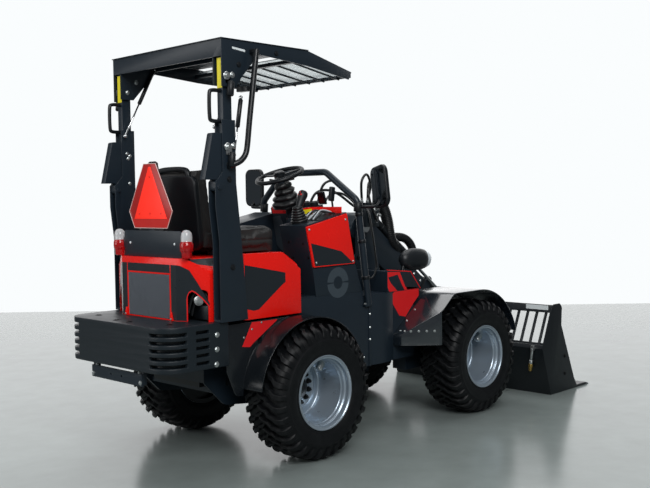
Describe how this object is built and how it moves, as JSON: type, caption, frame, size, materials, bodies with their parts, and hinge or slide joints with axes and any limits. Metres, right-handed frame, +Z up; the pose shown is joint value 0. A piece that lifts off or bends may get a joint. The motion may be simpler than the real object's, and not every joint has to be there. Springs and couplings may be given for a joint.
{
  "type": "mini wheel loader",
  "caption": "Articulated compact wheel loader with a folding driver canopy, red engine hood, telescopic boom and a quick-hitch bucket with an open grate back.",
  "frame": {"origin": "on the ground, under the middle of the whole machine's outline", "axes": "+X forward, towards the bucket, +Y to the driver's left, +Z up"},
  "size_m": [3.795, 1.454, 2.2903],
  "materials": {
    "frame_paint": "semi-gloss blue-black paint",
    "red_paint": "glossy bright red paint",
    "fender_paint": "glossy dark paint",
    "rim_silver": "satin silver paint",
    "tyre": "matte tread rubber",
    "black_plastic": "fine grained moulding",
    "black_steel": "satin black paint",
    "grille_grey": "grey coated mesh",
    "chrome_rod": "ground and plated rod",
    "zinc": "zinc plated",
    "seat_vinyl": "black vinyl",
    "lamp_red": "red and clear lens",
    "lamp_black": "black dome with a clear lens",
    "sign": "orange-red reflective sheet with a darker border",
    "clear": "clear polycarbonate",
    "worn_steel": "paint worn bright at the cutting edge",
    "cast_dark": "painted casting"
  },
  "bodies": {
    "rear_frame": {"rear_axle": "frame_paint", "rear_chassis": "frame_paint", "engine_block": "black_steel", "counterweight": "cast_dark", "tow_plate": "frame_paint", "engine_hood": "red_paint", "radiator_grille": "grille_grey", "side_panels": "red_paint", "rear_fenders": "black_plastic", "side_plates": "frame_paint", "floor_plate": "frame_paint", "console": "black_plastic", "steering_wheel": "black_plastic", "control_levers": "black_plastic", "guard_hoop": "frame_paint", "mirrors": "black_plastic", "seat_cushion": "seat_vinyl", "seat_back": "seat_vinyl", "arm_rest": "seat_vinyl", "lower_posts": "frame_paint", "fold_pins": "zinc", "light_bracket": "frame_paint", "tail_lights": "lamp_red", "warning_triangle": "sign", "steering_barrel": "black_steel"},
    "front_frame": {"front_axle": "frame_paint", "front_housing": "frame_paint", "front_chassis": "frame_paint", "front_cowl": "frame_paint", "boom_tower": "frame_paint", "front_fenders": "fender_paint", "head_lights": "lamp_black"},
    "wheel_rear_left": {"rim_rear_left": "rim_silver", "tyre_rear_left": "tyre"},
    "wheel_rear_right": {"rim_rear_right": "rim_silver", "tyre_rear_right": "tyre"},
    "wheel_front_left": {"rim_front_left": "rim_silver", "tyre_front_left": "tyre"},
    "wheel_front_right": {"rim_front_right": "rim_silver", "tyre_front_right": "tyre"},
    "canopy": {"upper_posts": "frame_paint", "canopy_frame": "frame_paint", "roof_plate": "frame_paint", "roof_window": "clear", "canopy_fittings": "black_steel"},
    "boom": {"outer_boom": "frame_paint", "slide_barrels": "black_steel", "hose_guard": "black_plastic"},
    "boom_slide": {"inner_boom": "frame_paint", "slide_rods": "chrome_rod"},
    "attachment": {"quick_hitch": "frame_paint", "bucket": "worn_steel", "bucket_grate": "worn_steel"},
    "lift_barrel": {"lift_barrel": "black_steel"},
    "lift_rod": {"lift_rod": "chrome_rod"},
    "tilt_barrel": {"tilt_barrel": "black_steel"},
    "tilt_rod": {"tilt_rod": "chrome_rod"},
    "steering_rod": {"steering_rod": "chrome_rod"}
  },
  "joints": [
    {"name": "articulation", "type": "hinge", "parent": "rear_frame", "child": "front_frame", "pos_m": [-0.198, 0, 0.6], "axis": [0, 0, 1], "range_deg": [-32, 32]},
    {"name": "wheel_rear_left_spin", "type": "hinge", "parent": "rear_frame", "child": "wheel_rear_left", "pos_m": [-0.968, 0.535, 0.38], "axis": [0, 1, 0], "continuous": true},
    {"name": "wheel_rear_right_spin", "type": "hinge", "parent": "rear_frame", "child": "wheel_rear_right", "pos_m": [-0.968, -0.535, 0.38], "axis": [0, 1, 0], "continuous": true},
    {"name": "wheel_front_left_spin", "type": "hinge", "parent": "front_frame", "child": "wheel_front_left", "pos_m": [0.572, 0.535, 0.38], "axis": [0, 1, 0], "continuous": true},
    {"name": "wheel_front_right_spin", "type": "hinge", "parent": "front_frame", "child": "wheel_front_right", "pos_m": [0.572, -0.535, 0.38], "axis": [0, 1, 0], "continuous": true},
    {"name": "boom_lift", "type": "hinge", "parent": "front_frame", "child": "boom", "pos_m": [0.002, 0, 1.26], "axis": [0, -1, 0], "range_deg": [0, 62]},
    {"name": "boom_extend", "type": "slide", "parent": "boom", "child": "boom_slide", "axis": [0.7986, 0, -0.6018], "range_m": [0, 0.45]},
    {"name": "bucket_tilt", "type": "hinge", "parent": "boom_slide", "child": "attachment", "pos_m": [1.11689, 0, 0.41987], "axis": [0, 1, 0], "range_deg": [-20, 62]},
    {"name": "canopy_fold", "type": "hinge", "parent": "rear_frame", "child": "canopy", "pos_m": [-1.55, 0, 1.519], "axis": [0, -1, 0], "range_deg": [0, 90]},
    {"name": "lift_barrel_swing", "type": "hinge", "parent": "front_frame", "child": "lift_barrel", "pos_m": [-0.088, 0, 0.52], "axis": [0, -1, 0], "range_deg": [-7, 1]},
    {"name": "lift_rod_slide", "type": "slide", "parent": "lift_barrel", "child": "lift_rod", "axis": [0.4432, 0, 0.8964], "range_m": [0, 0.33]},
    {"name": "tilt_barrel_swing", "type": "hinge", "parent": "boom_slide", "child": "tilt_barrel", "pos_m": [0.78887, 0, 0.84861], "axis": [0, -1, 0], "range_deg": [-2, 2]},
    {"name": "tilt_rod_slide", "type": "slide", "parent": "tilt_barrel", "child": "tilt_rod", "axis": [0.7377, 0, -0.6751], "range_m": [-0.035, 0.105]},
    {"name": "steering_rod_slide", "type": "slide", "parent": "rear_frame", "child": "steering_rod", "axis": [1, 0, 0], "range_m": [-0.11, 0.11]}
  ],
  "couplings": [
    {"joint": "lift_barrel_swing", "follows": "boom_lift", "ratio": -0.09},
    {"joint": "lift_rod_slide", "follows": "boom_lift", "m_per_rad": 0.293},
    {"joint": "tilt_barrel_swing", "follows": "bucket_tilt", "ratio": -0.0064},
    {"joint": "tilt_rod_slide", "follows": "bucket_tilt", "m_per_rad": 0.0926},
    {"joint": "steering_rod_slide", "follows": "articulation", "m_per_rad": 0.19}
  ]
}
